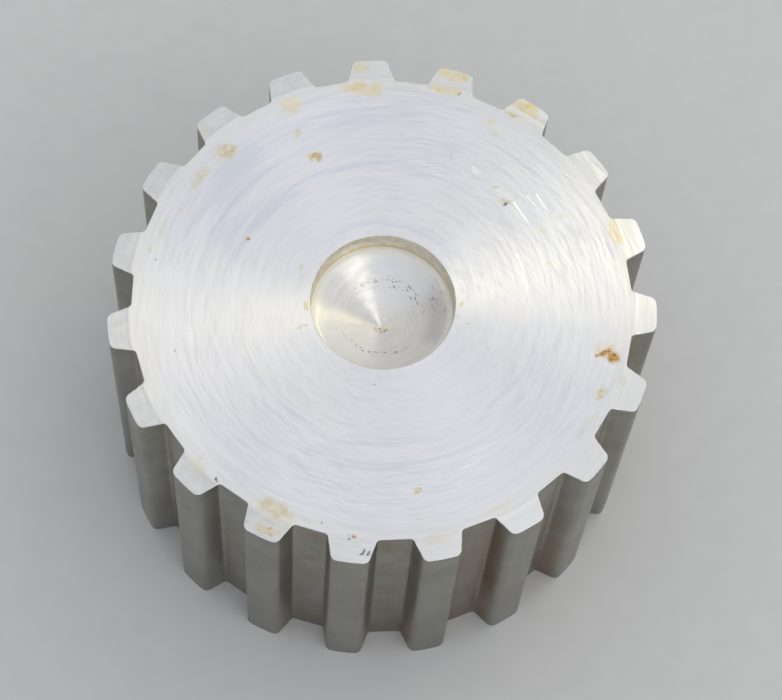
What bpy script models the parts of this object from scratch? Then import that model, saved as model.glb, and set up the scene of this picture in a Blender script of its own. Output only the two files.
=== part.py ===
"""Timing belt pulley: T10 tooth form, 19 teeth, 33 mm wide, no flanges and no hub.

The aluminium body has a drilled and counterbored recess in its closed front face and a
blind shaft bore in its back face. Two socket grub screws lie in radial holes that start
in the bottom of a tooth gap and end in the bore. The axis is +Z, the back face stands on
Z = 0, and a tooth is centred on +X. Metres throughout.
"""

import math

import bmesh
import bpy
from mathutils import Matrix, Vector

# Tooth form: a T10 belt on 19 teeth.
TEETH = 19
BELT_PITCH = 0.010
PITCH_RADIUS = TEETH * BELT_PITCH / (2 * math.pi)
TIP_RADIUS = PITCH_RADIUS - 0.000915
GROOVE_DEPTH = 0.00265
GROOVE_MOUTH = 0.00586
GROOVE_HALF_ANGLE = math.radians(24)
TIP_ROUNDING = 0.00080
ROOT_ROUNDING = 0.00045
ROUNDING_STEPS = 5
LAND_STEPS = 4

# Body.
WIDTH = 0.033
BORE_RADIUS = 0.010
BORE_DEPTH = 0.022
BORE_CHAMFER = 0.0006
COUNTERBORE_RADIUS = 0.0077
COUNTERBORE_DEPTH = 0.0025
DRILL_RADIUS = 0.0070
DRILL_POINT_HALF_ANGLE = math.radians(59)
TURNED_SIDES = 72

# Grub screws, M6 x 12 with a cup point and a 3 mm hexagon socket.
SCREW_RADIUS = 0.00285
SCREW_LENGTH = 0.012
SCREW_CHAMFER = 0.0006
SCREW_POINT_RADIUS = 0.0015
SCREW_CUP_DEPTH = 0.0007
SOCKET_ACROSS_FLATS = 0.003
SOCKET_DEPTH = 0.0035
SCREW_SIDES = 32
SCREW_GAP = 0.0003
SCREW_HEIGHT = BORE_DEPTH / 2
SCREW_GROOVES = (2, 7)

# A cutter runs this far past the surface that it opens.
OVERSHOOT = 0.001


def clear_scene():
    for scene_object in list(bpy.data.objects):
        bpy.data.objects.remove(scene_object, do_unlink=True)


def metal(name, colour, roughness):
    material = bpy.data.materials.new(name)
    material.use_nodes = True
    shader = material.node_tree.nodes["Principled BSDF"]
    shader.inputs["Base Color"].default_value = (*colour, 1)
    shader.inputs["Metallic"].default_value = 1
    shader.inputs["Roughness"].default_value = roughness
    return material


def add_object(name, shape, material=None):
    """Turn a bmesh into an object with outward faces and smooth turned surfaces."""
    bmesh.ops.remove_doubles(shape, verts=shape.verts, dist=1e-7)
    bmesh.ops.recalc_face_normals(shape, faces=shape.faces)
    mesh = bpy.data.meshes.new(name)
    shape.to_mesh(mesh)
    shape.free()
    mesh.shade_smooth()
    mesh.set_sharp_from_angle(angle=math.radians(30))
    if material:
        mesh.materials.append(material)
    new_object = bpy.data.objects.new(name, mesh)
    bpy.context.collection.objects.link(new_object)
    return new_object


def prism(outline, bottom, top):
    """A straight-sided solid over a closed outline of (x, y) points."""
    shape = bmesh.new()
    base = shape.faces.new([shape.verts.new((x, y, bottom)) for x, y in outline])
    extruded = bmesh.ops.extrude_face_region(shape, geom=[base], use_keep_orig=True)
    moved = [item for item in extruded["geom"] if isinstance(item, bmesh.types.BMVert)]
    bmesh.ops.translate(shape, verts=moved, vec=(0, 0, top - bottom))
    return shape


def turned(profile, sides):
    """A solid of revolution about Z, from (radius, height) points that start and end on Z."""
    shape = bmesh.new()
    points = [shape.verts.new((radius, 0, height)) for radius, height in profile]
    edges = [shape.edges.new(pair) for pair in zip(points, points[1:])]
    bmesh.ops.spin(
        shape, geom=points + edges, cent=(0, 0, 0), axis=(0, 0, 1),
        angle=2 * math.pi, steps=sides, use_merge=True)
    bmesh.ops.remove_doubles(shape, verts=shape.verts, dist=1e-7)
    return shape


def cut(target, shape, name):
    """Take a shape out of the target, and leave it as a hidden cutter."""
    cutter = add_object(name, shape)
    cutter.hide_render = True
    cutter.display_type = "WIRE"
    boolean = target.modifiers.new(name, "BOOLEAN")
    boolean.operation = "DIFFERENCE"
    boolean.solver = "EXACT"
    boolean.object = cutter
    return cutter


def rounded(before, corner, after, radius):
    """Points of the arc that rounds a corner between its two neighbours."""
    towards_before = (before - corner).normalized()
    towards_after = (after - corner).normalized()
    half_angle = towards_before.angle(towards_after) / 2
    middle = (towards_before + towards_after).normalized()
    from_centre = middle * radius / math.sin(half_angle)
    first = towards_before * radius / math.tan(half_angle) - from_centre
    last = towards_after * radius / math.tan(half_angle) - from_centre
    arc = []
    for step in range(ROUNDING_STEPS + 1):
        direction = first.slerp(last, step / ROUNDING_STEPS)
        arc.append(corner + from_centre + direction * radius)
    return arc


def groove_direction(index):
    """The angle of the middle of a tooth gap; tooth 0 is centred on +X."""
    return (index + 0.5) * 2 * math.pi / TEETH


def groove_points(index):
    """One trapezoid tooth gap with rounded corners, in anticlockwise order."""
    mouth_half = GROOVE_MOUTH / 2
    mouth_radius = math.sqrt(TIP_RADIUS ** 2 - mouth_half ** 2)
    floor_radius = TIP_RADIUS - GROOVE_DEPTH
    floor_half = mouth_half - (mouth_radius - floor_radius) * math.tan(GROOVE_HALF_ANGLE)
    land_half_angle = math.pi / TEETH
    land = Vector((math.cos(land_half_angle), math.sin(land_half_angle))) * TIP_RADIUS
    corners = [
        Vector((mouth_radius, -mouth_half)),
        Vector((floor_radius, -floor_half)),
        Vector((floor_radius, floor_half)),
        Vector((mouth_radius, mouth_half)),
    ]
    path = [Vector((land.x, -land.y)), *corners, land]
    roundings = (TIP_ROUNDING, ROOT_ROUNDING, ROOT_ROUNDING, TIP_ROUNDING)
    turn = Matrix.Rotation(groove_direction(index), 2)
    points = []
    for place, radius in enumerate(roundings, start=1):
        arc = rounded(path[place - 1], path[place], path[place + 1], radius)
        points.extend(turn @ point for point in arc)
    return points


def land_points(index):
    """Points on the tip circle between a gap and the next one."""
    mouth_angle = math.asin(GROOVE_MOUTH / 2 / TIP_RADIUS)
    first = groove_direction(index) + mouth_angle
    last = groove_direction(index + 1) - mouth_angle
    points = []
    for step in range(1, LAND_STEPS):
        angle = first + (last - first) * step / LAND_STEPS
        points.append(Vector((math.cos(angle), math.sin(angle))) * TIP_RADIUS)
    return points


def tooth_outline():
    outline = []
    for index in range(TEETH):
        outline += groove_points(index)
        outline += land_points(index)
    return outline


def recess_profile():
    """The front recess: a shallow counterbore with the cone of a drill point in its floor."""
    floor = WIDTH - COUNTERBORE_DEPTH
    cone_depth = DRILL_RADIUS / math.tan(DRILL_POINT_HALF_ANGLE)
    return [
        (0, WIDTH + OVERSHOOT),
        (COUNTERBORE_RADIUS, WIDTH + OVERSHOOT),
        (COUNTERBORE_RADIUS, floor),
        (DRILL_RADIUS, floor),
        (0, floor - cone_depth),
    ]


def bore_profile():
    """The blind shaft bore, with a chamfered mouth in the back face."""
    mouth = BORE_RADIUS + BORE_CHAMFER + OVERSHOOT
    return [
        (0, BORE_DEPTH),
        (BORE_RADIUS, BORE_DEPTH),
        (BORE_RADIUS, BORE_CHAMFER),
        (mouth, -OVERSHOOT),
        (0, -OVERSHOOT),
    ]


def screw_frame(groove):
    """The place of a grub screw: +Z runs outward, and the origin is at the bore's wall."""
    outward = Matrix.Rotation(math.pi / 2, 4, "Y")
    around = Matrix.Rotation(groove_direction(groove), 4, "Z")
    middle = Matrix.Translation((BORE_RADIUS, 0, SCREW_HEIGHT))
    return around @ middle @ outward


def screw_hole():
    """A plain hole from inside the bore to the outside of the tooth gap."""
    radius = SCREW_RADIUS + SCREW_GAP
    outer = TIP_RADIUS - BORE_RADIUS
    return turned([(0, -2 * OVERSHOOT), (radius, -2 * OVERSHOOT), (radius, outer), (0, outer)],
                  SCREW_SIDES)


def screw_blank():
    """The turned form of a grub screw, with its cup point at the bottom."""
    return turned([
        (0, SCREW_CUP_DEPTH),
        (SCREW_POINT_RADIUS, 0),
        (SCREW_RADIUS, SCREW_RADIUS - SCREW_POINT_RADIUS),
        (SCREW_RADIUS, SCREW_LENGTH - SCREW_CHAMFER),
        (SCREW_RADIUS - SCREW_CHAMFER, SCREW_LENGTH),
        (0, SCREW_LENGTH),
    ], SCREW_SIDES)


def hexagon_socket():
    corner_radius = SOCKET_ACROSS_FLATS / math.sqrt(3)
    corners = [math.radians(60 * corner) for corner in range(6)]
    outline = [(corner_radius * math.cos(a), corner_radius * math.sin(a)) for a in corners]
    return prism(outline, SCREW_LENGTH - SOCKET_DEPTH, SCREW_LENGTH + OVERSHOOT)


def make_toothed_body():
    aluminium = metal("aluminium", (0.80, 0.81, 0.83), 0.30)
    body = add_object("toothed_body", prism(tooth_outline(), 0, WIDTH), aluminium)
    cut(body, turned(recess_profile(), TURNED_SIDES), "recess_cutter")
    cut(body, turned(bore_profile(), TURNED_SIDES), "bore_cutter")
    for number, groove in enumerate(SCREW_GROOVES, start=1):
        hole = cut(body, screw_hole(), f"screw_hole_cutter_{number}")
        hole.matrix_world = screw_frame(groove)


def make_grub_screw(number, groove, material):
    screw = add_object(f"grub_screw_{number}", screw_blank(), material)
    screw.matrix_world = screw_frame(groove)
    socket = cut(screw, hexagon_socket(), f"socket_cutter_{number}")
    socket.matrix_world = screw_frame(groove)


def main():
    clear_scene()
    make_toothed_body()
    black_steel = metal("black_steel", (0.07, 0.07, 0.075), 0.45)
    for number, groove in enumerate(SCREW_GROOVES, start=1):
        make_grub_screw(number, groove, black_steel)


main()
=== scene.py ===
"""Looks for the timing belt pulley: a fine toothed body, two threaded grub screws and their metals.

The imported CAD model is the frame. The fine body replaces the faceted one and each fine screw
replaces its plain stand-in, at the same places and sizes. Metres, +Z along the pulley's axis.
"""

import math

import bmesh
import bpy
from mathutils import Euler, Matrix, Vector, noise


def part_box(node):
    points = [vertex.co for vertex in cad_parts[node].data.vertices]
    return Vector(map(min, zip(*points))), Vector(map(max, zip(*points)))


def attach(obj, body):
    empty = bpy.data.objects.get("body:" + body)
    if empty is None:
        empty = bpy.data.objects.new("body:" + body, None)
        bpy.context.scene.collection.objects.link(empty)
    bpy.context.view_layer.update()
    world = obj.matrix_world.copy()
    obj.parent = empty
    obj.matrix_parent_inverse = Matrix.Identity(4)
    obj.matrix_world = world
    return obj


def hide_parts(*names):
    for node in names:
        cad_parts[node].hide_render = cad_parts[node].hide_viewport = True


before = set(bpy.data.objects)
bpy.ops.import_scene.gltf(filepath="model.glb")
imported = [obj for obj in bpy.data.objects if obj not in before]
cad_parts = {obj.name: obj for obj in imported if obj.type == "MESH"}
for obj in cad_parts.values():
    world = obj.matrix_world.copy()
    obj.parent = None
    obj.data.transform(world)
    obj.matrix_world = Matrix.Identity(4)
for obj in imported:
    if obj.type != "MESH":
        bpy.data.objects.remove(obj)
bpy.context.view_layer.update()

MM = 0.001
body_low, body_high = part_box("toothed_body")

# Driving sizes that the frame gives.
TEETH = 19
WIDTH = body_high.z - body_low.z
BOX_MARGIN = 0.01 * MM
TIP_RADIUS = body_high.x - BOX_MARGIN
PITCH_ANGLE = 2 * math.pi / TEETH

# Tooth form.
GROOVE_DEPTH = 2.65 * MM
GROOVE_MOUTH = 5.86 * MM
GROOVE_HALF_ANGLE = math.radians(24)
TIP_ROUNDING = 0.8 * MM
ROOT_ROUNDING = 0.45 * MM
EDGE_BREAK = 0.07 * MM
EDGE_STEPS = 3

# Front face, recess, bore.
FACED_RADIUS = 27.0 * MM
TOOTH_END_BEVEL = math.tan(math.radians(9))
TOOTH_END_BEVEL_WIDTH = 0.35 * MM
TOOTH_END_SLOPE = math.tan(math.radians(3))
INNER_ZONE_RADIUS = 15.5 * MM
INNER_ZONE_RISE = 0.006 * MM
# Rings of points over the front face, in millimetres. Over the tooth ends each ring also keeps
# its own margin inside the outline.
TOOTH_END_RINGS = ((28.9, 0.16), (28.3, 0.18), (27.8, 0.20), (27.37, 0.22), (27.33, 0.24),
                   (27.18, 0.26), (27.02, 0.28), (26.98, 0.30), (26.6, 0.34))
FACE_RINGS = (26.2, 25, 23, 21, 19, 17, 15.58, 15.47, 14, 12, 10, 9, 8.2)
COUNTERBORE_RADIUS = 7.7 * MM
COUNTERBORE_DEPTH = 2.5 * MM
DRILL_RADIUS = 7.0 * MM
DRILL_POINT_HALF_ANGLE = math.radians(59)
BORE_RADIUS = 10 * MM
BORE_DEPTH = 22 * MM
BORE_CHAMFER = 0.6 * MM
BORE_CORNER = 0.1 * MM
RIM_ROUNDING = 0.12 * MM
FOOT_CORNER = 0.05 * MM
BURR = 0.03 * MM

# Grub screws: M6 x 12 in tapped holes that start at the bore's wall.
THREAD_PITCH = 1.0 * MM
THREAD_OUTER = 2.95 * MM
THREAD_INNER = 2.42 * MM
THREAD_CLEARANCE = 0.06 * MM
THREAD_STEEPNESS = 2.7
THREAD_ROOT_FLAT = 0.16
THREAD_SIDES = 32
RINGS_PER_PITCH = 12
HOLE_MOUTH_RADIUS = 3.1 * MM
SCREW_LENGTH = 12 * MM
SCREW_POINT_RADIUS = 1.5 * MM
SCREW_CUP_DEPTH = 0.7 * MM
SCREW_CHAMFER = 0.6 * MM
SOCKET_ACROSS_FLATS = 3.0 * MM
SOCKET_DEPTH = 3.5 * MM
SCREW_HEIGHT = BORE_DEPTH / 2
SCREW_GROOVES = {"grub_screw_1": 2, "grub_screw_2": 7}
SCREW_BODIES = {"grub_screw_1": "first_screw", "grub_screw_2": "second_screw"}

# The camera stands above the front of the pulley, a little to the left.
CAMERA_ANGLES = (22.71, -2.20, 1.89)
CAMERA_FROM_FACE = Vector((0.87 * MM, -5.16 * MM, 276.8 * MM))
CAMERA_LENS = 119.7


# ---------------------------------------------------------------- meshes

def polar(radius, angle):
    return Vector((radius * math.cos(angle), radius * math.sin(angle)))


def rounded(before, corner, after, radius, steps):
    """Points of the arc that rounds a corner between its two neighbours."""
    towards_before = (before - corner).normalized()
    towards_after = (after - corner).normalized()
    half_angle = towards_before.angle(towards_after) / 2
    middle = (towards_before + towards_after).normalized()
    from_centre = middle * radius / math.sin(half_angle)
    first = towards_before * radius / math.tan(half_angle) - from_centre
    last = towards_after * radius / math.tan(half_angle) - from_centre
    arc = []
    for step in range(steps + 1):
        direction = first.slerp(last, step / steps)
        arc.append(corner + from_centre + direction * radius)
    return arc


def between(first, last, steps):
    """Points on the straight line strictly between two points."""
    return [first.lerp(last, step / steps) for step in range(1, steps)]


def groove_direction(index):
    return (index + 0.5) * PITCH_ANGLE


def tooth_outline():
    """The anticlockwise outline of all the teeth: a trapezoid gap, then a land, 19 times."""
    mouth_half = GROOVE_MOUTH / 2
    mouth_radius = math.sqrt(TIP_RADIUS ** 2 - mouth_half ** 2)
    floor_radius = TIP_RADIUS - GROOVE_DEPTH
    floor_half = mouth_half - (mouth_radius - floor_radius) * math.tan(GROOVE_HALF_ANGLE)
    land = polar(TIP_RADIUS, PITCH_ANGLE / 2)
    path = [
        Vector((land.x, -land.y)),
        Vector((mouth_radius, -mouth_half)),
        Vector((floor_radius, -floor_half)),
        Vector((floor_radius, floor_half)),
        Vector((mouth_radius, mouth_half)),
        land,
    ]
    tips = [rounded(*path[start:start + 3], TIP_ROUNDING, 5) for start in (0, 3)]
    roots = [rounded(*path[start:start + 3], ROOT_ROUNDING, 5) for start in (1, 2)]
    gap = tips[0] + between(tips[0][-1], roots[0][0], 4) + roots[0]
    gap += between(roots[0][-1], roots[1][0], 5) + roots[1]
    gap += between(roots[1][-1], tips[1][0], 4) + tips[1]
    first_angle = math.atan2(tips[1][-1].y, tips[1][-1].x)
    last_angle = PITCH_ANGLE + math.atan2(tips[0][0].y, tips[0][0].x)
    outline = []
    for index in range(TEETH):
        turn = Matrix.Rotation(groove_direction(index), 2)
        outline += [turn @ point for point in gap]
        for step in range(1, 6):
            angle = first_angle + (last_angle - first_angle) * step / 6
            outline.append(turn @ polar(TIP_RADIUS, angle))
    return outline


OUTLINE = tooth_outline()
COUNT = len(OUTLINE)
ANGLES = [math.atan2(point.y, point.x) for point in OUTLINE]


def outline_normals():
    normals = []
    for place, _ in enumerate(OUTLINE):
        along = OUTLINE[(place + 1) % COUNT] - OUTLINE[place - 1]
        normals.append(Vector((along.y, -along.x)).normalized())
    return normals


NORMALS = outline_normals()


def outline_ring(inset, height, raggedness=0.0):
    """The tooth outline, set in by a distance; a burred edge wanders a little."""
    ring = []
    for point, normal in zip(OUTLINE, NORMALS):
        wander = raggedness * noise.noise(Vector((*point, height)) * 2600)
        placed = point - normal * (inset + wander)
        ring.append(Vector((*placed, height)))
    return ring


def round_ring(radius, height, margin=None):
    """A circle with a point under each outline point, held inside the teeth by a margin."""
    ring = []
    for point, angle in zip(OUTLINE, ANGLES):
        limit = radius if margin is None else min(radius, point.length - margin)
        ring.append(Vector((*polar(limit, angle), height)))
    return ring


def front_height(radius):
    """The front face: a slightly proud inner zone, and tooth ends that sit a little lower."""
    beyond = max(0, radius - FACED_RADIUS)
    bevel = min(beyond, TOOTH_END_BEVEL_WIDTH)
    fall = bevel * TOOTH_END_BEVEL + (beyond - bevel) * TOOTH_END_SLOPE
    step = 0 if radius < INNER_ZONE_RADIUS else INNER_ZONE_RISE
    return WIDTH - step - fall


def back_half():
    """Rings from the bore's floor, down its wall and over the back face, to the front edge."""
    rings = [("bore", round_ring(0.05 * MM, BORE_DEPTH))]
    rings += [("bore", round_ring(radius * MM, BORE_DEPTH)) for radius in (2, 4, 6, 8, 9.7)]
    rings += [
        ("bore", round_ring(BORE_RADIUS - BORE_CORNER, BORE_DEPTH)),
        ("bore", round_ring(BORE_RADIUS, BORE_DEPTH - BORE_CORNER)),
        ("bore", round_ring(BORE_RADIUS, BORE_CHAMFER)),
        ("bore", round_ring(BORE_RADIUS + BORE_CHAMFER, 0)),
    ]
    for radius, margin in ((11, None), (15, None), (20, None), (25, None), (26.4, 0.3 * MM)):
        rings.append(("back", round_ring(radius * MM, 0, margin)))
    rings.append(("back", outline_ring(EDGE_BREAK + 0.02 * MM, 0)))
    for step in range(EDGE_STEPS + 1):
        quarter = math.pi / 2 * step / EDGE_STEPS
        inset = EDGE_BREAK * (1 - math.sin(quarter))
        rings.append(("edge", outline_ring(inset, EDGE_BREAK * (1 - math.cos(quarter)))))
    return rings


def front_half():
    """Rings from the teeth's front edge, over the face, into the recess and down its cone."""
    rings = []
    for step in range(EDGE_STEPS + 1):
        quarter = math.pi / 2 * step / EDGE_STEPS
        inset = EDGE_BREAK * (1 - math.cos(quarter))
        ring = outline_ring(inset, 0, BURR * math.sin(quarter))
        for point in ring:
            slope = front_height(Vector((point.x, point.y)).length)
            point.z = slope - EDGE_BREAK * (1 - math.sin(quarter))
        rings.append(("sides" if step == 0 else "edge", ring))
    for radius, margin in TOOTH_END_RINGS + tuple((radius, None) for radius in FACE_RINGS):
        ring = round_ring(radius * MM, 0, margin and margin * MM)
        for point in ring:
            point.z = front_height(Vector((point.x, point.y)).length)
        rings.append(("front", ring))
    return rings + recess_rings()


def recess_rings():
    """Rings over the recess's rounded rim, down its wall, over its flat ring and down the cone."""
    rings = [("front", round_ring(COUNTERBORE_RADIUS + RIM_ROUNDING, WIDTH))]
    for step in range(1, EDGE_STEPS + 1):
        quarter = math.pi / 2 * step / EDGE_STEPS
        radius = COUNTERBORE_RADIUS + RIM_ROUNDING * (1 - math.sin(quarter))
        height = WIDTH - RIM_ROUNDING * (1 - math.cos(quarter))
        rings.append(("wall", round_ring(radius, height)))
    for share in (0.3, 0.6, 0.95):
        rings.append(("wall", round_ring(COUNTERBORE_RADIUS, WIDTH - share * COUNTERBORE_DEPTH)))
    floor = WIDTH - COUNTERBORE_DEPTH
    cone_top = floor - 0.03 * MM
    cone_depth = DRILL_RADIUS / math.tan(DRILL_POINT_HALF_ANGLE)
    rings += [
        ("wall", round_ring(COUNTERBORE_RADIUS, floor + FOOT_CORNER)),
        ("recess", round_ring(COUNTERBORE_RADIUS - FOOT_CORNER, floor)),
        ("recess", round_ring(DRILL_RADIUS + 0.12 * MM, floor)),
        ("recess", round_ring(DRILL_RADIUS + 0.04 * MM, cone_top)),
    ]
    for share in (0.98, 0.85, 0.7, 0.62, 0.55, 0.5, 0.4, 0.25, 0.12, 0.05, 0.01):
        height = cone_top - cone_depth * (1 - share)
        rings.append(("recess", round_ring(DRILL_RADIUS * share, height)))
    return rings


def loft(rings, zones):
    """A closed mesh through rings of equal count, with a fan at each end."""
    shape = bmesh.new()
    rows = [[shape.verts.new(point) for point in ring] for _, ring in rings]
    for row in (rows[0], rows[-1]):
        middle = sum((vertex.co for vertex in row), Vector()) / len(row)
        pole = shape.verts.new(middle)
        for first, last in zip(row, row[1:] + row[:1]):
            face = shape.faces.new((first, last, pole))
            face.material_index = zones[rings[0 if row is rows[0] else -1][0]]
    for (zone, _), row, following in zip(rings[1:], rows, rows[1:]):
        for place in range(len(row)):
            after = (place + 1) % len(row)
            face = shape.faces.new((row[place], row[after], following[after], following[place]))
            face.material_index = zones[zone]
    bmesh.ops.recalc_face_normals(shape, faces=shape.faces)
    return shape


def new_piece(name, shape, materials):
    mesh = bpy.data.meshes.new(name)
    shape.to_mesh(mesh)
    shape.free()
    for material in materials:
        mesh.materials.append(material)
    piece = bpy.data.objects.new(name, mesh)
    bpy.context.scene.collection.objects.link(piece)
    return piece


def cut_away(piece, shape, place=Matrix.Identity(4)):
    """Take a shape out of a piece for good."""
    cutter = new_piece("cutter", shape, [])
    cutter.matrix_world = place
    boolean = piece.modifiers.new("cut", "BOOLEAN")
    boolean.operation = "DIFFERENCE"
    boolean.solver = "EXACT"
    boolean.object = cutter
    bpy.context.view_layer.update()
    evaluated = piece.evaluated_get(bpy.context.evaluated_depsgraph_get())
    result = bpy.data.meshes.new_from_object(evaluated)
    piece.modifiers.clear()
    old = piece.data
    piece.data = result
    bpy.data.meshes.remove(old)
    bpy.data.objects.remove(cutter)


def shade(piece, flat_zones=(), sharp_angle=32):
    """Smooth shading between sharp edges; the faces of a flat zone each keep their own normal."""
    piece.data.shade_smooth()
    piece.data.set_sharp_from_angle(angle=math.radians(sharp_angle))
    for face in piece.data.polygons:
        if face.material_index in flat_zones:
            face.use_smooth = False


# ---------------------------------------------------------------- screws

def thread_radius(height, angle, outer, inner):
    """The radius falls from crest to root and back once each pitch, with narrow flats at both."""
    phase = (height / THREAD_PITCH - angle / (2 * math.pi)) % 1
    flank = min(1, max(0, abs(phase - 0.5) * THREAD_STEEPNESS - THREAD_ROOT_FLAT))
    return inner + (outer - inner) * flank


def threaded_rings(bottom, top, outer, inner, zone, taper_from=None):
    """Rings of a threaded rod; its ends can narrow to a point and a chamfer."""
    count = round((top - bottom) / THREAD_PITCH * RINGS_PER_PITCH)
    rings = []
    for step in range(count + 1):
        height = bottom + (top - bottom) * step / count
        limit = math.inf if taper_from is None else taper_from(height)
        ring = []
        for side in range(THREAD_SIDES):
            angle = 2 * math.pi * side / THREAD_SIDES
            radius = min(limit, thread_radius(height, angle, outer, inner))
            ring.append(Vector((radius * math.cos(angle), radius * math.sin(angle), height)))
        rings.append((zone, ring))
    return rings


def plain_ring(radius, height, sides=THREAD_SIDES):
    angles = [2 * math.pi * side / sides for side in range(sides)]
    return [Vector((radius * math.cos(a), radius * math.sin(a), height)) for a in angles]


def screw_place(groove):
    """+Z runs outward along the hole, and the origin is at the bore's wall."""
    around = Matrix.Rotation(groove_direction(groove), 4, "Z")
    middle = Matrix.Translation((BORE_RADIUS, 0, SCREW_HEIGHT))
    return around @ middle @ Matrix.Rotation(math.pi / 2, 4, "Y")


def screw_limit(height):
    """How wide the screw may be: narrow at its cup point, chamfered at its socket end."""
    point = SCREW_POINT_RADIUS + height
    chamfer = THREAD_OUTER - SCREW_CHAMFER + SCREW_LENGTH - height
    return min(point, chamfer)


def screw_shape():
    zones = {"screw": 0}
    rings = [("screw", plain_ring(0.15 * MM, SCREW_CUP_DEPTH))]
    rings += [("screw", plain_ring(SCREW_POINT_RADIUS - 0.12 * MM, 0.02 * MM))]
    rings += threaded_rings(0, SCREW_LENGTH, THREAD_OUTER, THREAD_INNER, "screw", screw_limit)
    rings += [("screw", plain_ring(radius * MM, SCREW_LENGTH)) for radius in (2.1, 1.0)]
    return loft(rings, zones)


def hexagon_socket():
    corner = SOCKET_ACROSS_FLATS / math.sqrt(3)
    bottom = SCREW_LENGTH - SOCKET_DEPTH
    rings = [("socket", plain_ring(0.3 * MM, bottom - 0.7 * MM, 6))]
    rings += [("socket", plain_ring(corner, bottom, 6))]
    rings += [("socket", plain_ring(corner, SCREW_LENGTH - 0.15 * MM, 6))]
    rings += [("socket", plain_ring(corner + 0.35 * MM, SCREW_LENGTH + 0.2 * MM, 6))]
    return loft(rings, {"socket": 0})


def tapped_hole(zone_index):
    """A threaded hole from inside the bore, with a lead-in and a plain mouth at the gap's floor."""
    outer = THREAD_OUTER + THREAD_CLEARANCE
    inner = THREAD_INNER + THREAD_CLEARANCE
    floor = TIP_RADIUS - GROOVE_DEPTH - BORE_RADIUS
    outside = TIP_RADIUS - BORE_RADIUS + 0.5 * MM
    lead_in = floor - (HOLE_MOUTH_RADIUS - inner)
    rings = threaded_rings(-1.5 * MM, lead_in, outer, inner, "hole")
    rings.append(("hole", plain_ring(HOLE_MOUTH_RADIUS, floor)))
    rings.append(("hole", plain_ring(HOLE_MOUTH_RADIUS, outside)))
    return loft(rings, {"hole": zone_index})


# ---------------------------------------------------------------- dents

def dent(start, end, width, depth, zone_index):
    """A shallow print in the front face: a steeper wall along one side and at its start."""
    first = Vector((*start, 0)) * MM
    last = Vector((*end, 0)) * MM
    along = (last - first).normalized()
    side = Vector((-along.y, along.x, 0)) * width * MM
    brink = WIDTH + 0.004 * MM
    above = WIDTH + 0.2 * MM
    rings = []
    for station in range(DENT_STATIONS + 1):
        share = (station / DENT_STATIONS) ** 1.3
        swell = (1.003 - (2 * share - 1) ** 4) ** 0.25
        deepest = depth * MM * min(1, share / DENT_START, (1 - share) / DENT_END)
        middle = first.lerp(last, share)
        ring = []
        for place in range(DENT_STATIONS + 1):
            across = place / DENT_STATIONS
            sink = min(across / DENT_WALL, (1 - across) / (1 - DENT_WALL))
            point = middle + side * (0.5 + (across - 0.5) * swell)
            ring.append(Vector((*point.xy, brink - deepest * sink)))
        ring.append(Vector((*ring[-1].xy, above)))
        ring.append(Vector((*ring[0].xy, above)))
        rings.append(("dent", ring))
    return loft(rings, {"dent": zone_index})


# The steeper wall takes this share of a dent's width, and the slopes at its ends these shares of
# its length.
DENT_WALL = 0.2
DENT_START = 0.05
DENT_END = 0.25
DENT_STATIONS = 10

# Prints of a clamp's jaw and two nicks: start, end, width and depth in millimetres.
DENTS = (
    ((13.45, 12.50), (15.85, 9.00), 1.40, 0.105),
    ((14.95, 13.35), (16.95, 11.00), 0.72, 0.055),
    ((15.95, 13.60), (17.75, 10.90), 1.10, 0.083),
    ((8.90, 16.20), (9.75, 15.35), 0.75, 0.07),
    ((23.50, 8.10), (24.60, 5.80), 0.60, 0.05),
)


# ---------------------------------------------------------------- materials

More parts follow.
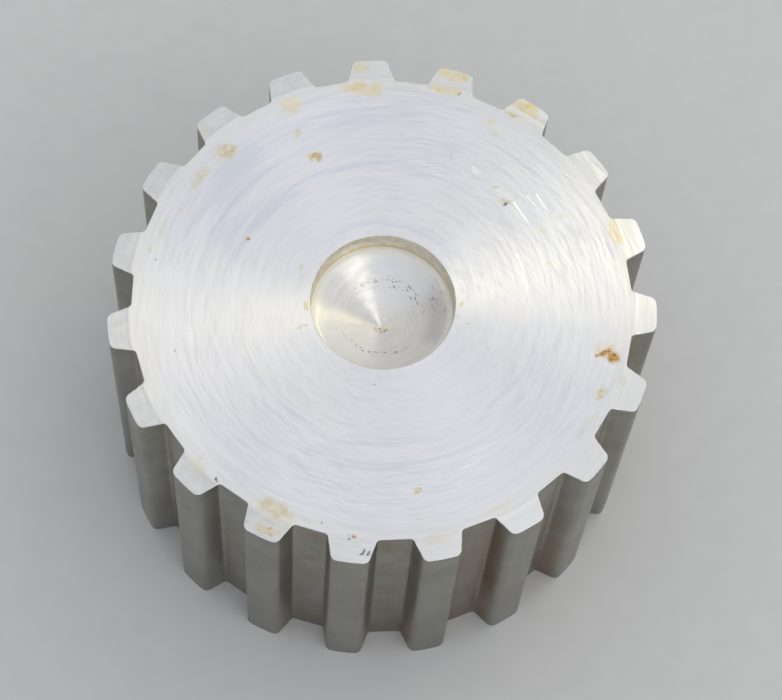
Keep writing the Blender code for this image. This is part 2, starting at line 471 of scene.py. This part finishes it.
class Tree:
    """A short way to write a material's nodes. A socket or a plain value can be an input."""

    def __init__(self, name):
        self.material = bpy.data.materials.new(name)
        self.material.use_nodes = True
        self.nodes = self.material.node_tree.nodes
        self.links = self.material.node_tree.links
        self.shader = self.nodes["Principled BSDF"]
        self.position = self.add("ShaderNodeTexCoord").outputs["Object"]

    def add(self, kind, inputs=None, **settings):
        node = self.nodes.new(kind)
        for name, value in settings.items():
            setattr(node, name, value)
        for name, value in (inputs or {}).items():
            self.feed(node.inputs[name], value)
        return node

    def feed(self, socket, value):
        if isinstance(value, bpy.types.NodeSocket):
            self.links.new(value, socket)
        else:
            socket.default_value = value

    def maths(self, operation, first, second=0.0):
        inputs = {0: first, 1: second}
        return self.add("ShaderNodeMath", inputs, operation=operation).outputs[0]

    def vector(self, operation, first, second=(0, 0, 0)):
        inputs = {0: first, 1: second}
        return self.add("ShaderNodeVectorMath", inputs, operation=operation).outputs["Vector"]

    def scaled(self, vector, factor):
        inputs = {0: vector, "Scale": factor}
        return self.add("ShaderNodeVectorMath", inputs, operation="SCALE").outputs["Vector"]

    def dot(self, first, second):
        inputs = {0: first, 1: second}
        return self.add("ShaderNodeVectorMath", inputs, operation="DOT_PRODUCT").outputs["Value"]

    def length(self, vector):
        return self.add("ShaderNodeVectorMath", {0: vector}, operation="LENGTH").outputs["Value"]

    def smooth(self, value, low, high, start=0.0, end=1.0):
        """Goes smoothly from start to end as the value goes from low to high."""
        inputs = {"Value": value, "From Min": low, "From Max": high, "To Min": start, "To Max": end}
        kind = "ShaderNodeMapRange"
        return self.add(kind, inputs, interpolation_type="SMOOTHSTEP").outputs["Result"]

    def colours(self, factor, first, second):
        node = self.add("ShaderNodeMix", {"Factor": factor}, data_type="RGBA")
        self.feed(node.inputs[6], first)
        self.feed(node.inputs[7], second)
        return node.outputs[2]

    def noise(self, vector, scale=1.0, detail=2.0, roughness=0.5):
        inputs = {"Vector": vector, "Scale": scale, "Detail": detail, "Roughness": roughness}
        return self.add("ShaderNodeTexNoise", inputs).outputs["Fac"]

    def split(self, vector):
        return self.add("ShaderNodeSeparateXYZ", {0: vector}).outputs

    def radius(self):
        flat = self.vector("MULTIPLY", self.position, (1, 1, 0))
        return self.length(flat)

    def lathe(self, radial, axial, around, centre=(0, 0, 0)):
        """Coordinates that stretch a noise into rings: cells per metre out, up, and per radian."""
        placed = self.vector("SUBTRACT", self.position, centre)
        flat = self.vector("MULTIPLY", placed, (1, 1, 0))
        direction = self.scaled(self.vector("NORMALIZE", flat), around)
        out = self.maths("MULTIPLY", self.length(flat), radial)
        up = self.maths("MULTIPLY", self.split(self.position)["Z"], axial)
        step = self.maths("ADD", out, up)
        lift = self.add("ShaderNodeCombineXYZ", {"Z": step}).outputs[0]
        return self.vector("ADD", direction, lift)

    def band(self, value, middle, half_width):
        """1 on a line, 0 away from it."""
        distance = self.maths("ABSOLUTE", self.maths("SUBTRACT", value, middle))
        return self.smooth(distance, half_width, half_width * 0.3)

    def arc(self, radius, half_width, middle, half_angle):
        """1 on part of a circle round the axis, 0 away from it; angles in degrees."""
        middle = math.radians(middle)
        facing = (math.cos(middle), math.sin(middle), 0)
        flat = self.vector("NORMALIZE", self.vector("MULTIPLY", self.position, (1, 1, 0)))
        dot = self.dot(flat, facing)
        end = math.cos(math.radians(half_angle))
        full = math.cos(math.radians(half_angle / 2))
        near = self.smooth(dot, end, full)
        return self.maths("MULTIPLY", near, self.band(self.radius(), radius, half_width))

    def arcs(self, rows):
        """The strongest of several arcs: radius, half width, middle, half angle, strength."""
        total = 0.0
        for radius, half_width, middle, half_angle, strength in rows:
            arc = self.arc(radius * MM, half_width * MM, middle, half_angle)
            total = self.maths("MAXIMUM", total, self.maths("MULTIPLY", arc, strength))
        return total

    def mark(self, position, x, y, length, width, turn, edge=0.55):
        """An elliptical patch on the front face, in millimetres and degrees.

        It is made of dot products, because sixty Mapping nodes are too much for one material.
        """
        long_way = polar(2 / (length * MM), math.radians(turn)).to_3d()
        short_way = polar(2 / (width * MM), math.radians(turn + 90)).to_3d()
        from_middle = self.vector("SUBTRACT", position, (x * MM, y * MM, 0))
        along = self.dot(from_middle, long_way)
        across = self.dot(from_middle, short_way)
        squares = self.maths("ADD", self.maths("MULTIPLY", along, along),
                             self.maths("MULTIPLY", across, across))
        return self.smooth(self.maths("SQRT", squares), 1.2, edge)

    def marks(self, position, rows, edge=0.55):
        """The strongest of several patches at each point."""
        total = 0.0
        for *shape, strength in rows:
            patch = self.maths("MULTIPLY", self.mark(position, *shape, edge), strength)
            total = self.maths("MAXIMUM", total, patch)
        return total

    def bump(self, height, distance, strength=1.0):
        inputs = {"Height": height, "Distance": distance, "Strength": strength}
        self.feed(self.shader.inputs["Normal"], self.add("ShaderNodeBump", inputs).outputs[0])

    def finish(self, colour, roughness, metallic=1.0):
        self.feed(self.shader.inputs["Base Color"], colour)
        self.feed(self.shader.inputs["Roughness"], roughness)
        self.shader.inputs["Metallic"].default_value = metallic
        return self.material

    def brushed_around(self, amount):
        """Machining grooves that run round the axis spread a highlight across them."""
        tangent = self.add("ShaderNodeTangent", direction_type="RADIAL", axis="Z")
        self.shader.inputs["Anisotropic"].default_value = amount
        self.shader.inputs["Anisotropic Rotation"].default_value = 0.25
        self.feed(self.shader.inputs["Tangent"], tangent.outputs[0])


# The last light skim over the front face was turned about a slightly different centre.
SWEEP_CENTRE = (5 * MM, -4 * MM, 0)
BRIGHT = (0.93, 0.925, 0.935, 1)
DULL = (0.855, 0.865, 0.90, 1)
LILAC = (0.895, 0.875, 0.925, 1)
STEEL_BLUE = (0.70, 0.735, 0.82, 1)
OCHRE = (0.97, 0.86, 0.55, 1)
AMBER = (0.93, 0.74, 0.36, 1)
TAN = (0.84, 0.74, 0.50, 1)
BROWN = (0.62, 0.45, 0.22, 1)
RUST = (0.80, 0.50, 0.19, 1)
RUST_CORE = (0.50, 0.24, 0.08, 1)
DARK = (0.10, 0.08, 0.05, 1)

# Dried coolant and dirt on the front face: x, y, length, width, turn, strength.
STAINS = (
    (-3.1, 25.5, 5.2, 2.0, 0, 0.8),
    (-3.5, 28.2, 2.4, 1.9, 15, 0.4),
    (6.8, 28.0, 4.0, 2.4, -15, 0.85),
    (6.0, 25.9, 4.4, 1.5, -12, 0.75),
    (15.1, 23.9, 3.4, 2.9, -35, 1.0),
    (13.4, 23.5, 3.0, 0.9, -35, 0.5),
    (17.1, 22.0, 2.2, 0.7, -60, 0.5),
    (11.2, 22.1, 1.3, 1.2, 0, 0.55),
    (11.9, 20.8, 1.7, 1.3, -30, 0.25),
    (-10.8, 23.0, 2.7, 2.0, 15, 0.65),
    (24.9, 9.6, 3.6, 1.5, 105, 0.75),
    (25.9, 6.0, 2.0, 0.6, 100, 0.3),
    (16.9, 9.3, 0.9, 0.7, 0, 0.35),
    (18.8, 11.0, 0.9, 0.6, 0, 0.45),
)
FILMS = (
    (-17.8, 16.9, 2.7, 2.4, 40, 0.75),
    (-20.4, 13.6, 3.4, 1.4, 60, 0.6),
    (-20.3, 19.2, 1.6, 0.9, 50, 0.5),
    (-22.0, 9.6, 0.9, 0.8, 0, 0.5),
    (-23.9, 7.6, 3.4, 0.6, 72, 0.4),
    (-25.2, 5.0, 1.0, 0.7, 80, 0.6),
    (-7.9, 16.9, 1.9, 1.3, 10, 1.0),
    (-10.1, 19.4, 0.8, 0.7, 0, 0.8),
    (11.5, 14.3, 0.8, 0.6, 20, 0.7),
    (12.9, 12.45, 0.9, 0.8, 0, 0.6),
    (7.4, 25.3, 0.7, 0.5, 0, 0.9),
    (13.2, 23.1, 1.3, 0.5, -40, 0.8),
    (1.3, 20.2, 0.7, 0.6, 0, 0.3),
    (17.8, 5.2, 0.7, 0.6, 0, 0.5),
    (23.9, -4.5, 3.2, 2.0, -12, 0.3),
    (-8.9, 3.3, 0.7, 0.6, 0, 0.7),
    (4.5, -21.2, 0.7, 0.7, 0, 0.8),
    (4.5, -24.2, 0.8, 0.5, 0, 0.6),
    (23.3, -9.4, 1.9, 1.1, 65, 0.75),
    (21.7, -13.2, 4.4, 0.6, 58, 0.4),
    (25.6, -8.0, 1.3, 0.8, 70, 0.45),
    (12.8, -22.6, 4.0, 0.6, 24, 0.35),
    (6.8, -26.3, 3.6, 1.0, 10, 0.35),
    (-10.2, -24.0, 5.0, 2.5, -25, 0.65),
    (-11.0, -26.0, 2.8, 1.4, -20, 0.85),
    (-18.2, -18.6, 0.9, 0.5, 40, 0.5),
    (-18.6, -19.5, 2.6, 0.9, -50, 0.4),
    (-8.1, -0.75, 1.3, 0.5, 70, 1.0),
    (-8.5, -3.35, 1.4, 0.5, 40, 1.0),
    (8.4, 0.1, 1.2, 0.4, 80, 0.7),
    (7.9, -1.3, 0.9, 0.4, 20, 0.5),
)
RUST_SPOTS = (
    (24.55, -5.2, 2.0, 1.45, -30, 1.0),
    (23.7, -4.65, 2.3, 0.85, 15, 0.95),
    (22.95, -5.0, 0.7, 0.9, 0, 0.8),
    (-1.85, -26.4, 0.7, 0.6, 0, 0.8),
    (-10.8, -25.8, 0.9, 0.6, 0, 0.5),
    (-14.75, 6.8, 0.6, 0.5, 0, 0.9),
)
PITS_AND_PAINTED_SHADOW = (
    (12.95, 12.25, 0.5, 0.4, 50, 0.7),
    (-16.65, -21.0, 0.45, 0.4, 0, 0.7),
    (-21.75, -6.75, 0.35, 0.3, 0, 0.6),
    (-24.3, 3.6, 0.35, 0.3, 0, 0.6),
    (-1.2, -27.9, 0.8, 0.4, 20, 0.7),
    (-0.4, -28.2, 0.5, 0.4, 0, 0.7),
    (-2.6, -26.5, 0.5, 0.3, 0, 0.6),
    (-5.5, -25.0, 0.35, 0.3, 0, 0.6),
    (9.15, -2.15, 0.35, 0.3, 0, 0.7),
    (-0.5, -9.4, 0.3, 0.3, 0, 0.5),
    # A faint dark patch beside a nick: painted shadow.
    (7.05, 17.55, 0.5, 0.9, 0, 0.12),
)

# Faint blue rings that the facing tool left, and three broad bluish sectors of painted shade:
# radius, half width, middle and half angle, strength.
TOOL_RINGS_AND_PAINTED_SHADE = (
    (9.4, 0.75, 85, 60, 0.55),
    (12.3, 0.30, 75, 40, 0.30),
    (16.4, 0.55, 125, 50, 0.40),
    (19.8, 0.35, 150, 40, 0.30),
    (18.6, 0.30, 275, 35, 0.30),
    (20.3, 0.20, 245, 30, 0.25),
    (22.4, 1.60, 115, 40, 0.35),
    (19.5, 9.00, 146, 24, 0.30),
    (18.0, 11.0, 322, 22, 0.16),
    (18.0, 11.0, 226, 20, 0.14),
)

# Painted glints on streaks along the grooves, and a painted highlight on the tooth ends at the
# upper right, in the same terms.
GLINTS = (
    (23.1, 0.30, 261, 6, 0.8),
    (19.5, 0.30, 303, 8, 0.6),
    (20.5, 0.25, 299, 6, 0.5),
    (16.0, 0.25, 182, 14, 0.5),
    (19.2, 0.25, 176, 9, 0.6),
    (22.2, 0.30, 170, 7, 0.6),
    (20.6, 0.20, 188, 12, 0.5),
    (21.6, 0.25, 22, 14, 0.4),
    (28.4, 2.20, 49, 24, 1.0),
)


def streaked_metal(tree):
    """Long streaks round the axis: their shade, how rough they are, and their height."""
    fine = tree.noise(tree.lathe(7500, 0, 7), detail=3, roughness=0.6)
    middle = tree.noise(tree.lathe(2600, 0, 2.2), detail=2)
    swept = tree.noise(tree.lathe(4500, 0, 5, SWEEP_CENTRE), detail=2)
    streaks = tree.maths("ADD", tree.maths("MULTIPLY", fine, 0.4),
                         tree.maths("MULTIPLY", middle, 0.3))
    streaks = tree.maths("ADD", streaks, tree.maths("MULTIPLY", swept, 0.3))
    flecks = tree.smooth(tree.noise(tree.lathe(3800, 0, 11), detail=2, roughness=0.6), 0.55, 0.68)
    bands = tree.noise(tree.lathe(700, 0, 0.8), detail=1)
    flecks = tree.maths("MULTIPLY", flecks, tree.smooth(bands, 0.4, 0.6))
    rough = tree.smooth(streaks, 0.40, 0.58, 0.45, 0.34)
    rough = tree.maths("SUBTRACT", rough, tree.maths("MULTIPLY", flecks, 0.08))
    height = tree.maths("ADD", streaks, tree.maths("MULTIPLY", flecks, 0.5))
    return streaks, rough, height


def front_marks(tree, colour, rough, height):
    """Stains, films, rust, pits and one painted shadow, each with a wandering edge, painted over
    the bare metal.
    """
    wander = tree.add("ShaderNodeTexNoise", {"Vector": tree.position, "Scale": 900.0})
    shift = tree.vector("SUBTRACT", wander.outputs["Color"], (0.5, 0.5, 0.5))
    position = tree.vector("ADD", tree.position, tree.scaled(shift, 1.6 * MM))
    mottle = tree.smooth(tree.noise(tree.position, 1500, 4, 0.7), 0.35, 0.6, 0.6, 1.0)
    amber = tree.smooth(tree.noise(tree.position, 700, 3), 0.46, 0.62)
    stain = tree.maths("MULTIPLY", tree.marks(position, STAINS), mottle)
    cleaned = tree.band(tree.radius(), 27.45 * MM, 0.5 * MM)
    stain = tree.maths("MULTIPLY", stain, tree.maths("SUBTRACT", 1.0, cleaned))
    colour = tree.colours(stain, colour, tree.colours(amber, OCHRE, AMBER))
    film = tree.marks(position, FILMS)
    grains = tree.smooth(tree.noise(tree.position, 1500, 3), 0.44, 0.64)
    colour = tree.colours(tree.maths("MULTIPLY", film, mottle), colour, TAN)
    grains = tree.maths("MULTIPLY", grains, tree.smooth(film, 0.4, 1.0, 0.0, 0.65))
    colour = tree.colours(grains, colour, BROWN)
    rust = tree.marks(position, RUST_SPOTS, 0.3)
    crumbs = tree.noise(tree.position, 2600, 3, 0.6)
    colour = tree.colours(rust, colour, RUST)
    core = tree.maths("MULTIPLY", tree.smooth(rust, 0.6, 1.0), tree.smooth(crumbs, 0.48, 0.60))
    colour = tree.colours(core, colour, RUST_CORE)
    # Dark pits, and one faint painted shadow beside a nick.
    pits = tree.marks(position, PITS_AND_PAINTED_SHADOW, 0.3)
    colour = tree.colours(pits, colour, DARK)
    dirt = tree.maths("MAXIMUM", tree.maths("MULTIPLY", stain, 0.3),
                      tree.maths("MAXIMUM", rust, pits))
    rough = tree.maths("ADD", rough, tree.maths("MULTIPLY", dirt, 0.25))
    height = tree.maths("SUBTRACT", height, tree.maths("MULTIPLY", pits, 3))
    return colour, rough, height


def turned_face(name, marked):
    """A lathe-faced end: streaked rings, brighter near the middle, with stains if marked."""
    tree = Tree(name)
    streaks, rough, height = streaked_metal(tree)
    radius = tree.radius()
    broad = tree.noise(tree.lathe(1100, 0, 2), detail=2)
    cloud = tree.noise(tree.position, 90, 2)
    colour = tree.colours(tree.smooth(streaks, 0.40, 0.58), DULL, BRIGHT)
    colour = tree.colours(tree.smooth(cloud, 0.35, 0.65, 0.0, 0.5), colour, LILAC)
    # The tool rings tint the metal blue; the three broad sectors darken it as painted shade.
    for place, half_width, middle, half_angle, strength in TOOL_RINGS_AND_PAINTED_SHADE:
        ring = tree.arc(place * MM, half_width * MM, middle, half_angle)
        ring = tree.maths("MULTIPLY", ring, tree.smooth(broad, 0.35, 0.6, 0.3 * strength, strength))
        colour = tree.colours(ring, colour, STEEL_BLUE)
    # Painted glints and a painted highlight, in near white.
    for place, half_width, middle, half_angle, strength in GLINTS:
        glint = tree.arc(place * MM, half_width * MM, middle, half_angle)
        glint = tree.maths("MULTIPLY", glint, tree.smooth(streaks, 0.42, 0.56, 0.0, strength))
        colour = tree.colours(glint, colour, (0.99, 0.99, 0.99, 1))
    edge = tree.maths("ADD", radius, tree.maths("MULTIPLY", broad, 0.7 * MM))
    inner = tree.smooth(edge, INNER_ZONE_RADIUS + 0.45 * MM, INNER_ZONE_RADIUS + 0.25 * MM)
    colour = tree.colours(tree.maths("MULTIPLY", inner, 0.4), colour, (0.93, 0.92, 0.93, 1))
    # Painted shade: the tooth ends are darker and bluer towards the left.
    left_side_shade = tree.smooth(tree.split(tree.position)["X"], 2 * MM, -14 * MM, 0.0, 0.85)
    mottled = tree.smooth(tree.noise(tree.position, 800, 3, 0.6), 0.35, 0.65, 0.5, 1.0)
    outside = tree.smooth(edge, 27.1 * MM, 27.7 * MM)
    film = tree.maths("MULTIPLY", tree.maths("MULTIPLY", left_side_shade, mottled), outside)
    colour = tree.colours(film, colour, (0.62, 0.635, 0.69, 1))
    handled = tree.smooth(radius, 24 * MM, 27 * MM, 0.0, 0.45)
    colour = tree.colours(handled, colour, (0.88, 0.86, 0.81, 1))
    if marked:
        colour, rough, height = front_marks(tree, colour, rough, height)
    tree.bump(height, 0.004 * MM)
    tree.brushed_around(0.85)
    return tree.finish(colour, rough)


def pressed_print():
    """The dents: metal pressed smooth, so the turning marks are gone."""
    tree = Tree("pressed_print")
    cloud = tree.noise(tree.position, 1200, 2)
    return tree.finish(tree.colours(cloud, BRIGHT, (0.97, 0.965, 0.96, 1)), 0.30)


# Light and a tint painted on the recess, in the terms of the tool rings and a colour: a painted
# highlight on the lower left, painted shade over the highlight on the left, painted shade on the
# right, and a lighter, bluer upper right.
RECESS_PAINTED_LIGHT_AND_TINT = (
    (3.6, 4.5, 231, 42, 0.9, (1.0, 0.985, 0.95, 1)),
    (4.5, 4.0, 181, 24, 0.4, (0.72, 0.71, 0.70, 1)),
    (6.6, 2.4, 3, 44, 0.6, (0.70, 0.65, 0.645, 1)),
    (4.4, 4.0, 62, 46, 0.75, (0.95, 0.95, 0.99, 1)),
)
# Where the drill's cone is pitted, in the same terms.
PITTED_ARCS = (
    (4.3, 0.75, 46, 46, 1.0),
    (4.35, 0.40, 258, 68, 0.9),
    (4.3, 0.30, 115, 32, 0.6),
    (6.3, 1.20, 18, 20, 0.5),
)


def drilled_recess():
    """The flat ring and the drill's cone: chatter rings, small pits and old residue."""
    tree = Tree("drilled_recess")
    radius = tree.radius()
    rings = tree.noise(tree.lathe(5200, 0, 1.2), detail=3)
    chatter = tree.noise(tree.lathe(1500, 0, 3), detail=2)
    colour = tree.colours(tree.smooth(rings, 0.35, 0.65), (0.86, 0.84, 0.81, 1),
                          (0.93, 0.91, 0.88, 1))
    # Painted highlight and painted shade by sector, and a lighter, bluer upper right.
    for *place, tint in RECESS_PAINTED_LIGHT_AND_TINT:
        colour = tree.colours(tree.arcs((place,)), colour, tint)
    foot = tree.band(radius, 7.68 * MM, 0.16 * MM)
    x, y, _ = tree.split(tree.vector("NORMALIZE", tree.position))
    upper_left = tree.smooth(tree.maths("SUBTRACT", y, x), -0.6, 1.0, 0.25, 1.0)
    colour = tree.colours(tree.maths("MULTIPLY", foot, upper_left), colour, (0.90, 0.74, 0.34, 1))
    for place, strength in ((7.35, 0.25), (6.98, 0.6), (6.75, 0.25)):
        line = tree.band(radius, place * MM, 0.07 * MM)
        colour = tree.colours(tree.maths("MULTIPLY", line, strength), colour, OCHRE)
    specks = tree.smooth(tree.noise(tree.position, 1900, 1), 0.63, 0.69)
    ticks = tree.smooth(tree.noise(tree.lathe(6000, 0, 9), detail=1), 0.60, 0.67)
    pits = tree.maths("MAXIMUM", specks, ticks)
    pits = tree.maths("MULTIPLY", pits, tree.arcs(PITTED_ARCS))
    colour = tree.colours(tree.maths("MULTIPLY", pits, 0.75), colour, DARK)
    crust = tree.smooth(tree.noise(tree.position, 2100, 3), 0.44, 0.56)
    below = tree.vector("SUBTRACT", tree.position, (0.1 * MM, -0.55 * MM, 0))
    below = tree.length(tree.vector("MULTIPLY", below, (0.8, 1.3, 0)))
    middle = tree.smooth(below, 0.95 * MM, 0.35 * MM, 0.0, 0.85)
    colour = tree.colours(tree.maths("MULTIPLY", crust, middle), colour, (0.62, 0.50, 0.25, 1))
    rough = tree.smooth(chatter, 0.3, 0.7, 0.36, 0.44)
    height = tree.maths("ADD", rings, tree.maths("MULTIPLY", chatter, 0.5))
    height = tree.maths("SUBTRACT", height, tree.maths("MULTIPLY", pits, 2))
    tree.bump(height, 0.003 * MM)
    tree.brushed_around(0.70)
    return tree.finish(colour, rough)


def recess_wall():
    """The recess's wall: bored, dulled and a little yellowed."""
    tree = Tree("recess_wall")
    rings = tree.noise(tree.lathe(0, 7000, 5), detail=3)
    cloud = tree.noise(tree.position, 900, 4, 0.65)
    colour = tree.colours(tree.smooth(cloud, 0.35, 0.65), (0.76, 0.72, 0.60, 1),
                          (0.91, 0.88, 0.78, 1))
    flakes = tree.smooth(tree.noise(tree.lathe(0, 3500, 14), detail=2), 0.6, 0.72, 0.0, 0.5)
    colour = tree.colours(flakes, colour, TAN)
    depth = tree.smooth(tree.split(tree.position)["Z"], WIDTH - COUNTERBORE_DEPTH,
                        WIDTH - COUNTERBORE_DEPTH + 0.25 * MM, 0.8, 0.0)
    colour = tree.colours(depth, colour, (0.74, 0.58, 0.26, 1))
    tree.bump(rings, 0.004 * MM)
    return tree.finish(colour, tree.smooth(rings, 0.3, 0.7, 0.38, 0.5))


# Gaps where brown dirt has settled: the gap's direction in degrees, and how far up the width.
GRIMY_GAPS = ((-85.3, 0.45), (-66.3, 0.95), (-47.4, 0.5), (-104.2, 0.2))


def milled_teeth():
    """Flanks and lands: cutter marks across each gap, dull blotched metal darkened by painted
    shade, dirt in the roots.
    """
    tree = Tree("milled_teeth")
    radius = tree.radius()
    up = tree.split(tree.position)["Z"]
    across = tree.noise(tree.lathe(0, 4200, 2.5), detail=3)
    along = tree.noise(tree.lathe(5000, 60, 70), detail=2)
    cloud = tree.noise(tree.position, 190, 4, 0.6)
    shaded_patina = tree.smooth(cloud, 0.35, 0.68)
    # Painted shade: the flanks' base colour is far darker than the face's, on metal that is only a
    # little darker.
    colour = tree.colours(shaded_patina, (0.335, 0.325, 0.285, 1), (0.275, 0.265, 0.225, 1))
    colour = tree.colours(tree.smooth(across, 0.35, 0.65, 0.0, 0.07), colour, BRIGHT)
    root = tree.smooth(radius, 27.9 * MM, 26.9 * MM)
    dusty = tree.smooth(tree.noise(tree.position, 420, 4), 0.4, 0.7, 0.0, 0.55)
    colour = tree.colours(tree.maths("MULTIPLY", root, dusty), colour, (0.30, 0.24, 0.16, 1))
    streaky = tree.noise(tree.lathe(0, 120, 40), detail=3)
    dirt = 0.0
    for direction, reach in GRIMY_GAPS:
        turn = math.radians(direction)
        facing = tree.maths("MULTIPLY", tree.split(tree.position)["X"], math.cos(turn))
        sideways = tree.maths("MULTIPLY", tree.split(tree.position)["Y"], math.sin(turn))
        aligned = tree.maths("DIVIDE", tree.maths("ADD", facing, sideways), radius)
        gap = tree.smooth(aligned, math.cos(0.13), math.cos(0.09))
        ragged = tree.maths("ADD", up, tree.maths("MULTIPLY", streaky, 9 * MM))
        low = tree.smooth(ragged, reach * WIDTH + 14 * MM, reach * WIDTH - 9 * MM)
        settled = tree.smooth(aligned, math.cos(0.085), math.cos(0.045), 1.0, 0.45)
        low = tree.maths("MULTIPLY", low, settled)
        dirt = tree.maths("MAXIMUM", dirt, tree.maths("MULTIPLY", gap, low))
    inside = tree.smooth(radius, 29.0 * MM, 28.0 * MM)
    dirt = tree.maths("MULTIPLY", dirt, inside)
    brown = tree.colours(tree.smooth(streaky, 0.35, 0.65), (0.27, 0.185, 0.13, 1),
                         (0.33, 0.24, 0.17, 1))
    blotched = tree.smooth(tree.noise(tree.position, 260, 4, 0.6), 0.35, 0.62, 0.55, 1.0)
    colour = tree.colours(tree.maths("MULTIPLY", dirt, blotched), colour, brown)
    rough = tree.smooth(across, 0.3, 0.7, 0.30, 0.42)
    rough = tree.maths("ADD", rough, tree.maths("MULTIPLY", dirt, 0.1))
    height = tree.maths("ADD", across, along)
    tree.bump(height, 0.003 * MM)
    return tree.finish(colour, rough)


def burred_edge():
    """The rims of the teeth: rubbed bright, with a slight burr."""
    tree = Tree("burred_edge")
    nicks = tree.noise(tree.position, 2400, 3)
    colour = tree.colours(tree.smooth(nicks, 0.35, 0.6), (0.80, 0.80, 0.80, 1),
                          (0.97, 0.965, 0.955, 1))
    tree.bump(nicks, 0.02 * MM)
    return tree.finish(colour, tree.smooth(nicks, 0.3, 0.7, 0.30, 0.45))


def bored_wall(name, dull, bright):
    """The shaft bore and the tapped holes, with the tool's fine feed lines."""
    tree = Tree(name)
    feed = tree.noise(tree.lathe(2500, 6500, 1.2), detail=2)
    cloud = tree.noise(tree.position, 300, 3)
    greys = [(level, level, level, 1) for level in (dull, bright)]
    colour = tree.colours(tree.smooth(cloud, 0.3, 0.7), *greys)
    tree.bump(feed, 0.006 * MM)
    return tree.finish(colour, tree.smooth(feed, 0.3, 0.7, 0.24, 0.36))


def black_oxide():
    """Blackened steel: satin, a little oily, with brighter metal on the thread's crests."""
    tree = Tree("black_oxide")
    cloud = tree.noise(tree.position, 900, 3)
    worn = tree.smooth(tree.add("ShaderNodeNewGeometry").outputs["Pointiness"], 0.52, 0.58)
    worn = tree.maths("MULTIPLY", worn, tree.smooth(cloud, 0.35, 0.7))
    colour = tree.colours(tree.smooth(cloud, 0.3, 0.7), (0.030, 0.031, 0.034, 1),
                          (0.060, 0.060, 0.062, 1))
    colour = tree.colours(tree.maths("MULTIPLY", worn, 0.6), colour, (0.42, 0.42, 0.43, 1))
    tree.bump(tree.noise(tree.position, 6000, 2), 0.004 * MM)
    return tree.finish(colour, tree.smooth(cloud, 0.3, 0.7, 0.28, 0.42), 0.85)


# ---------------------------------------------------------------- the pieces

def build_body():
    zones = {"front": 0, "wall": 1, "recess": 2, "sides": 3, "back": 4, "bore": 5, "hole": 6,
             "dent": 7, "edge": 8}
    materials = [
        turned_face("turned_front", True),
        recess_wall(),
        drilled_recess(),
        milled_teeth(),
        turned_face("turned_back", False),
        bored_wall("bored_wall", 0.72, 0.84),
        bored_wall("tapped_thread", 0.40, 0.58),
        pressed_print(),
        burred_edge(),
    ]
    body = new_piece("fine_toothed_body", loft(back_half() + front_half(), zones), materials)
    for groove in SCREW_GROOVES.values():
        cut_away(body, tapped_hole(zones["hole"]), screw_place(groove))
    for row in DENTS:
        cut_away(body, dent(*row, zones["dent"]))
    shade(body, flat_zones=(zones["front"], zones["back"]))
    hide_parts("toothed_body")
    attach(body, "pulley")


def build_screws():
    steel = black_oxide()
    for name, groove in SCREW_GROOVES.items():
        screw = new_piece("fine_" + name, screw_shape(), [steel])
        cut_away(screw, hexagon_socket())
        shade(screw)
        screw.matrix_world = screw_place(groove)
        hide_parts(name)
        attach(screw, SCREW_BODIES[name])


# ---------------------------------------------------------------- the studio

def aimed(location, target, spin=0.0):
    """A place and a turn that look from one point to another; spin is in degrees."""
    turn = (Vector(target) - Vector(location)).to_track_quat("-Z", "Y").to_matrix().to_4x4()
    return Matrix.Translation(location) @ turn @ Matrix.Rotation(math.radians(spin), 4, "Z")


def add_area_light(name, direction, distance, size, watts, colour, spin=0.0):
    lamp = bpy.data.lights.new(name, "AREA")
    lamp.shape = "RECTANGLE"
    lamp.size, lamp.size_y = size
    lamp.energy = watts
    lamp.color = colour
    light = bpy.data.objects.new(name, lamp)
    bpy.context.scene.collection.objects.link(light)
    middle = Vector((0, 0, WIDTH))
    light.matrix_world = aimed(middle + Vector(direction).normalized() * distance, middle, spin)


def build_studio():
    floor_shape = bmesh.new()
    bmesh.ops.create_grid(floor_shape, x_segments=1, y_segments=1, size=1.5)
    tree = Tree("pale_floor")
    grain = tree.noise(tree.position, 300, 3)
    colour = tree.colours(grain, (0.66, 0.66, 0.66, 1), (0.71, 0.71, 0.71, 1))
    floor = new_piece("floor", floor_shape, [tree.finish(colour, 0.9, 0.0)])
    floor.location.z = -0.1 * MM

    world = bpy.data.worlds.new("soft_sky")
    world.use_nodes = True
    nodes = world.node_tree.nodes
    links = world.node_tree.links
    background = nodes["Background"]
    background.inputs["Color"].default_value = (0.935, 0.962, 1.0, 1)
    direction = nodes.new("ShaderNodeTexCoord").outputs["Generated"]
    height = nodes.new("ShaderNodeVectorMath")
    height.operation = "DOT_PRODUCT"
    height.inputs[1].default_value = (0.25, 0.1, 1)
    rise = nodes.new("ShaderNodeMapRange")
    rise.interpolation_type = "SMOOTHSTEP"
    for name, value in (("From Min", -0.1), ("From Max", 0.75), ("To Min", 0.12), ("To Max", 0.82)):
        rise.inputs[name].default_value = value
    links.new(direction, height.inputs[0])
    links.new(height.outputs["Value"], rise.inputs["Value"])
    links.new(rise.outputs["Result"], background.inputs["Strength"])
    bpy.context.scene.world = world

    add_area_light("window", (0.54, 0.48, 0.68), 1.0, (0.8, 0.16), 0.86, (1.0, 0.91, 0.58), 50)
    add_area_light("front_lamp", (0.512, -0.45, 0.728), 1.0, (0.5, 0.3), 0.6, (1.0, 0.97, 0.88))


def build_camera():
    angles = [math.radians(angle) for angle in CAMERA_ANGLES]
    turn = Euler(angles, "XYZ").to_matrix()
    lens = bpy.data.cameras.new("camera")
    lens.lens = CAMERA_LENS
    lens.clip_start = 0.01
    camera = bpy.data.objects.new("camera", lens)
    camera.rotation_euler = angles
    camera.location = Vector((0, 0, WIDTH)) + turn @ CAMERA_FROM_FACE
    bpy.context.scene.collection.objects.link(camera)
    bpy.context.scene.camera = camera


build_body()
build_screws()
build_studio()
build_camera()
bpy.context.scene.view_settings.view_transform = "Standard"

bpy.context.view_layer.update()
